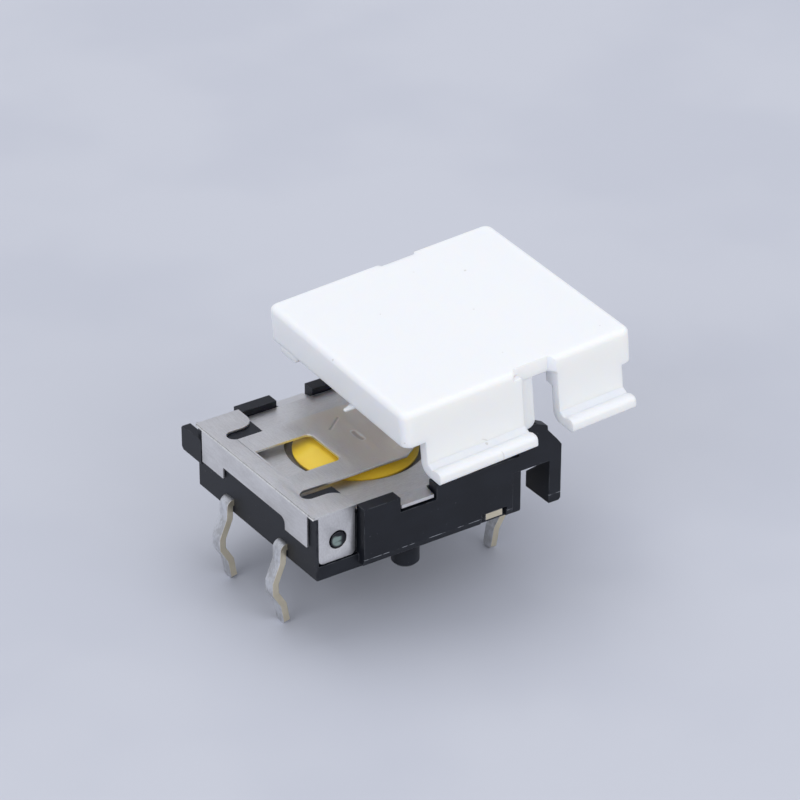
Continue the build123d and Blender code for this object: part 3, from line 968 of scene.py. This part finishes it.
@dataclass
class KeyCap(SubAssembly):
    """The white key cap with its gate mark."""

    finish: WhitePlastic = field(default_factory=WhitePlastic)

    nib_place: tuple[float, float, float] = (-1.64, -1.63, 6.46)
    nib_size: tuple[float, float, float] = (0.62, 0.42, 0.16)
    nib_turn: float = 14.0
    nib_taper: tuple[float, float, float] = (1.0, 0.55, 0.6)
    nib_lean: tuple[float, float, float] = (0.0, 0.07, -0.03)
    tip_taper: tuple[float, float, float] = (1.0, 0.6, 0.5)
    tip_reach: tuple[float, float, float] = (-0.12, -0.05, 0.01)
    nib_round: float = 0.03

    def build(self) -> None:
        """Dresses the cap and adds the torn gate nib under its left end."""
        white = self.finish.dress()
        self.coat(self.node("key_cap"), white)
        nib = self.gate_nib()
        self.coat(nib, white)
        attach(nib, Body.CAP.value)

    def gate_nib(self) -> bpy.types.Object:
        """The stub that the moulding gate left, torn narrower towards its end."""
        Bench.clear_selection()
        place = Vector(self.nib_place) * MM
        bpy.ops.mesh.primitive_cube_add(size=1.0, location=place)
        nib = bpy.context.object
        nib.name = "gate_nib"
        nib.scale = [side * MM for side in self.nib_size]
        Bench.settle(nib)
        left = place.x - self.nib_size[0] * MM * 0.45
        bpy.ops.object.mode_set(mode="EDIT")
        Bench.pick_faces(nib, lambda face: face.calc_center_median().x < left)
        bpy.ops.transform.resize(value=self.nib_taper)
        bpy.ops.transform.translate(value=[side * MM for side in self.nib_lean])
        reach = {"value": [side * MM for side in self.tip_reach]}
        bpy.ops.mesh.extrude_region_move(TRANSFORM_OT_translate=reach)
        bpy.ops.transform.resize(value=self.tip_taper)
        bpy.ops.mesh.select_all(action="SELECT")
        turn = Matrix.Rotation(math.radians(self.nib_turn), 3, "Z")
        nib_mesh = bmesh.from_edit_mesh(nib.data)
        bmesh.ops.rotate(nib_mesh, cent=place, matrix=turn, verts=nib_mesh.verts)
        bmesh.update_edit_mesh(nib.data)
        bpy.ops.object.mode_set(mode="OBJECT")
        Bench.round_edges(nib, self.nib_round, 2)
        return nib


@dataclass
class Studio:
    """Floor, lamps and camera."""

    azimuth: float = -33.79
    elevation: float = 30.05
    roll: float = 0.07
    distance: float = 193.96
    lens: float = 173.0
    look_at: tuple[float, float, float] = (0.01, 0.0, 1.5)
    look_shift: tuple[float, float] = (1.978, 3.543)
    floor_size: float = 6000.0
    floor_gap: float = 0.01
    sky: Colour = (0.93, 0.955, 1.0)
    sky_strength: float = 0.62
    seen_sky: Colour = (0.560, 0.578, 0.650)

    def basis(self) -> tuple[Vector, Vector, Vector]:
        """The camera's right, up and back directions."""
        a, e, r = (math.radians(v) for v in (self.azimuth, self.elevation, self.roll))
        back = Vector((math.sin(a) * math.cos(e), -math.cos(a) * math.cos(e), math.sin(e)))
        right = Vector((math.cos(a), math.sin(a), 0.0))
        up = back.cross(right)
        turned = right * math.cos(r) + up * math.sin(r)
        return turned, back.cross(turned), back

    def place_camera(self) -> None:
        """Adds the scene's camera."""
        right, up, back = self.basis()
        target = Vector(self.look_at) + right * self.look_shift[0] + up * self.look_shift[1]
        data = bpy.data.cameras.new("camera")
        data.lens = self.lens
        data.sensor_width = 36.0
        data.clip_start = 0.01
        data.clip_end = 20.0
        camera = bpy.data.objects.new("camera", data)
        turn = Matrix((right, up, back)).transposed().to_4x4()
        camera.matrix_world = Matrix.Translation((target + back * self.distance) * MM) @ turn
        bpy.context.scene.collection.objects.link(camera)
        bpy.context.scene.camera = camera

    def lay_floor(self) -> None:
        """Adds the floor that the leads stand on."""
        Bench.clear_selection()
        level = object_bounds()[0].z - self.floor_gap * MM
        bpy.ops.mesh.primitive_plane_add(size=self.floor_size * MM, location=(0, 0, level))
        floor = bpy.context.object
        floor.name = "floor"
        Bench.settle(floor)
        floor.data.materials.append(StudioFloor().dress())
        floor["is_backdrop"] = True

    def hang_lamp(
        self,
        name: str,
        azimuth: float,
        elevation: float,
        reach: float,
        size: float,
        power: float,
        tint: Colour,
    ) -> bpy.types.Object:
        """Adds a soft square lamp that faces the object.

        Args:
            name: the lamp's name.
            azimuth: its direction round the object, in degrees, as for the camera.
            elevation: its height angle.
            reach: its distance in metres.
            size: its side in metres.
            power: its power in watts.
            tint: its colour.

        Returns:
            The lamp.
        """
        a, e = math.radians(azimuth), math.radians(elevation)
        away = Vector((math.sin(a) * math.cos(e), -math.cos(a) * math.cos(e), math.sin(e)))
        data = bpy.data.lights.new(name, "AREA")
        data.shape = "SQUARE"
        data.size = size
        data.energy = power
        data.color = tint
        lamp = bpy.data.objects.new(name, data)
        turn = away.to_track_quat("Z", "Y").to_matrix().to_4x4()
        lamp.matrix_world = Matrix.Translation(away * reach) @ turn
        bpy.context.scene.collection.objects.link(lamp)
        return lamp

    def light(self) -> None:
        """Adds an even sky and three soft lamps."""
        world = bpy.data.worlds.new("soft_sky")
        bpy.context.scene.world = world
        world.use_nodes = True
        nodes, links = world.node_tree.nodes, world.node_tree.links
        nodes.clear()
        rays = nodes.new("ShaderNodeLightPath")
        seen = nodes.new("ShaderNodeMath")
        seen.operation = "MAXIMUM"
        links.new(rays.outputs["Is Camera Ray"], seen.inputs[0])
        links.new(rays.outputs["Is Glossy Ray"], seen.inputs[1])
        shades = []
        for colour, strength in ((self.sky, self.sky_strength), (self.seen_sky, 1.0)):
            shade = nodes.new("ShaderNodeBackground")
            shade.inputs["Color"].default_value = rgba(colour)
            shade.inputs["Strength"].default_value = strength
            shades.append(shade)
        mix = nodes.new("ShaderNodeMixShader")
        links.new(seen.outputs[0], mix.inputs[0])
        for index, shade in enumerate(shades):
            links.new(shade.outputs[0], mix.inputs[index + 1])
        output = nodes.new("ShaderNodeOutputWorld")
        links.new(mix.outputs[0], output.inputs[0])
        overhead = self.hang_lamp("overhead", 150.0, 72.0, 0.6, 0.5, 1.3, (1.0, 0.99, 0.97))
        overhead.visible_glossy = False
        self.hang_lamp("front_left", -70.0, 30.0, 0.7, 0.5, 1.35, (0.97, 0.98, 1.0))
        fill = self.hang_lamp("front_right", 12.0, 22.0, 0.7, 0.5, 1.5, (1.0, 0.99, 0.97))
        fill.visible_glossy = False

    def build(self) -> None:
        """Sets the whole stage."""
        bpy.context.scene.view_settings.view_transform = "Standard"
        self.lay_floor()
        self.light()
        self.place_camera()


def main() -> None:
    """Builds the looks of every piece round the frame."""
    logging.basicConfig(level=logging.INFO, format="%(name)s: %(message)s")
    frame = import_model()
    groups = (MouldedBase, Contacts, Plunger, StampedCover, LeafSpring, KeyCap)
    for group in groups:
        LOG.info("building %s", group.__name__)
        group(frame).build()
    Studio().build()


if __name__ == "__main__":
    main()
